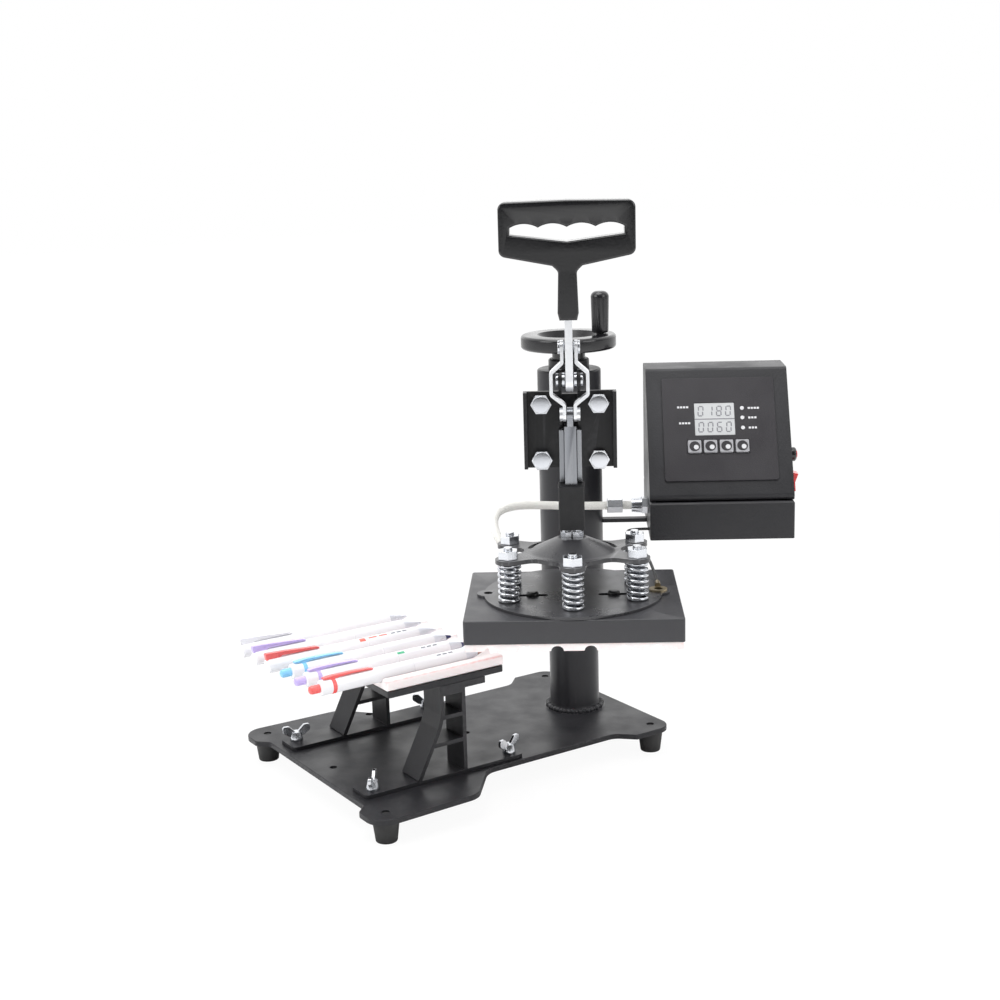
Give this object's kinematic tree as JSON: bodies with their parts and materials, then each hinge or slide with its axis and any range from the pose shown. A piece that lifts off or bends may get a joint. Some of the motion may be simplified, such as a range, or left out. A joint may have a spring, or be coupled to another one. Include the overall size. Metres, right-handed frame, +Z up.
{
  "type": "pen heat press",
  "caption": "Bench heat press for pens with a swing head, toggle handle, sprung hot plate, grooved bed holding pens, and a control box.",
  "frame": {"origin": "on the base plate's top face, midway between the two jig holes and so under the middle of the bed; the column's axis is 165 mm along +Y", "axes": "+Z up, +Y from the bed towards the column, +X to the right seen from the pens' button end"},
  "size_m": [0.3384, 0.4296, 0.439],
  "materials": {
    "black_steel": "satin",
    "black_plate": "satin",
    "zinc": "satin",
    "steel": "brushed",
    "hot_metal": "satin",
    "rubber_black": "matte",
    "silicone": "matte",
    "grip_plastic": "gloss",
    "case_plastic": "matte",
    "panel_film": "satin",
    "display": "gloss",
    "key_plastic": "matte",
    "red_plastic": "gloss",
    "lead_sleeve": "matte",
    "wire_black": "satin",
    "brass": "satin",
    "pen_white": "gloss"
  },
  "bodies": {
    "base": {"base_plate": "black_steel", "rubber_feet": "rubber_black", "column": "black_steel", "bed_support_front": "black_steel", "bed_support_rear": "black_steel", "bed_plate": "black_steel", "bed_pad": "silicone"},
    "lift": {"thrust_collar": "black_steel"},
    "wheel": {"hand_wheel": "grip_plastic", "height_screw": "zinc"},
    "crank": {"crank_knob": "grip_plastic"},
    "head": {"head_sleeve": "black_steel", "head_arm": "black_steel", "clamp_side_left": "black_plate", "clamp_side_right": "black_plate", "clamp_bolts": "zinc", "plunger_guide": "steel", "handle_pin": "steel", "box_arm": "black_steel", "case_shell": "case_plastic", "case_tray": "case_plastic", "control_panel": "panel_film", "display_window": "display", "fuse_holder": "grip_plastic", "lead_gland": "zinc"},
    "handle": {"handle_bar": "zinc", "handle_grip": "grip_plastic"},
    "link": {"strap_left": "zinc", "strap_right": "zinc", "strap_pin": "zinc"},
    "press": {"plunger": "steel", "coupling_block": "black_plate", "coupling_bolts": "zinc", "spider_plate": "hot_metal", "float_springs": "zinc"},
    "float": {"float_studs": "zinc", "float_disc": "hot_metal", "disc_screws": "steel", "hot_plate": "hot_metal", "heat_pad": "silicone", "lead_bush": "steel", "sensor_terminal": "brass", "heater_lead": "lead_sleeve", "lead_ferrule": "zinc", "sensor_lead": "wire_black"},
    "rocker": {"power_rocker": "red_plastic"},
    "key1": {"key_1": "key_plastic"},
    "key2": {"key_2": "key_plastic"},
    "key3": {"key_3": "key_plastic"},
    "key4": {"key_4": "key_plastic"},
    "wing_front_outer": {"wing_screw_front_outer": "zinc"},
    "wing_front_inner": {"wing_screw_front_inner": "zinc"},
    "wing_rear_outer": {"wing_screw_rear_outer": "zinc"},
    "wing_rear_inner": {"wing_screw_rear_inner": "zinc"},
    "pen1": {"pen_1": "pen_white"},
    "pen2": {"pen_2": "pen_white"},
    "pen3": {"pen_3": "pen_white"},
    "pen4": {"pen_4": "pen_white"},
    "pen5": {"pen_5": "pen_white"},
    "pen6": {"pen_6": "pen_white"}
  },
  "joints": [
    {"name": "height_slide", "type": "slide", "parent": "base", "child": "lift", "axis": [0, 0, 1], "range_m": [-0.01, 0.01]},
    {"name": "wheel_turn", "type": "hinge", "parent": "lift", "child": "wheel", "pos_m": [0, 0.165, 0.3], "axis": [0, 0, 1], "continuous": true},
    {"name": "crank_spin", "type": "hinge", "parent": "wheel", "child": "crank", "pos_m": [0.01452, 0.18535, 0.32], "axis": [0, 0, 1], "continuous": true},
    {"name": "head_swing", "type": "hinge", "parent": "lift", "child": "head", "pos_m": [0, 0.165, 0.18], "axis": [0, 0, 1], "range_deg": [-54.5, 35.5]},
    {"name": "press_stroke", "type": "slide", "parent": "head", "child": "press", "axis": [0, 0, -1], "range_m": [0, 0.0232]},
    {"name": "handle_swing", "type": "hinge", "parent": "head", "child": "handle", "pos_m": [0.13433, 0.06918, 0.2955], "axis": [0.5807, 0.8141, 0], "range_deg": [0, 105.1]},
    {"name": "strap_swing", "type": "hinge", "parent": "handle", "child": "link", "pos_m": [0.13433, 0.06918, 0.3181], "axis": [-0.5807, -0.8141, 0], "range_deg": [0, 76.8]},
    {"name": "float_slide", "type": "slide", "parent": "press", "child": "float", "axis": [0, 0, 1], "range_m": [0, 0.008], "stiffness_N_per_m": 6000, "springref_m": -0.002, "deforming": ["float_springs"]},
    {"name": "rocker_tilt", "type": "hinge", "parent": "head", "child": "rocker", "pos_m": [0.12745, 0.28168, 0.1935], "axis": [0.8141, -0.5807, 0], "range_deg": [0, 16]},
    {"name": "key_press_1", "type": "slide", "parent": "head", "child": "key1", "axis": [-0.6873, 0.4902, -0.536], "range_m": [0, 0.001], "stiffness_N_per_m": 400, "springref_m": -0.0008},
    {"name": "key_press_2", "type": "slide", "parent": "head", "child": "key2", "axis": [-0.6873, 0.4902, -0.536], "range_m": [0, 0.001], "stiffness_N_per_m": 400, "springref_m": -0.0008},
    {"name": "key_press_3", "type": "slide", "parent": "head", "child": "key3", "axis": [-0.6873, 0.4902, -0.536], "range_m": [0, 0.001], "stiffness_N_per_m": 400, "springref_m": -0.0008},
    {"name": "key_press_4", "type": "slide", "parent": "head", "child": "key4", "axis": [-0.6873, 0.4902, -0.536], "range_m": [0, 0.001], "stiffness_N_per_m": 400, "springref_m": -0.0008},
    {"name": "wing_front_outer_turn", "type": "hinge", "parent": "base", "child": "wing_front_outer", "pos_m": [0.0613, -0.059, 0.003], "axis": [0, 0, 1], "continuous": true},
    {"name": "wing_front_inner_turn", "type": "hinge", "parent": "base", "child": "wing_front_inner", "pos_m": [0.0613, 0.059, 0.003], "axis": [0, 0, 1], "continuous": true},
    {"name": "wing_rear_outer_turn", "type": "hinge", "parent": "base", "child": "wing_rear_outer", "pos_m": [-0.0613, -0.059, 0.003], "axis": [0, 0, 1], "continuous": true},
    {"name": "wing_rear_inner_turn", "type": "hinge", "parent": "base", "child": "wing_rear_inner", "pos_m": [-0.0613, 0.059, 0.003], "axis": [0, 0, 1], "continuous": true},
    {"name": "pen_slide_1", "type": "slide", "parent": "base", "child": "pen1", "axis": [0, 1, 0], "range_m": [-0.1, 0]},
    {"name": "pen_slide_2", "type": "slide", "parent": "base", "child": "pen2", "axis": [0, 1, 0], "range_m": [-0.1, 0]},
    {"name": "pen_slide_3", "type": "slide", "parent": "base", "child": "pen3", "axis": [0, 1, 0], "range_m": [-0.1, 0]},
    {"name": "pen_slide_4", "type": "slide", "parent": "base", "child": "pen4", "axis": [0, 1, 0], "range_m": [-0.1, 0]},
    {"name": "pen_slide_5", "type": "slide", "parent": "base", "child": "pen5", "axis": [0, 1, 0], "range_m": [-0.1, 0]},
    {"name": "pen_slide_6", "type": "slide", "parent": "base", "child": "pen6", "axis": [0, 1, 0], "range_m": [-0.1, 0]}
  ],
  "couplings": [
    {"joint": "wheel_turn", "follows": "height_slide", "rad_per_m": 1570.8},
    {"joint": "handle_swing", "follows": "press_stroke", "rad_per_m": 78.991},
    {"joint": "strap_swing", "follows": "press_stroke", "rad_per_m": 57.701}
  ]
}
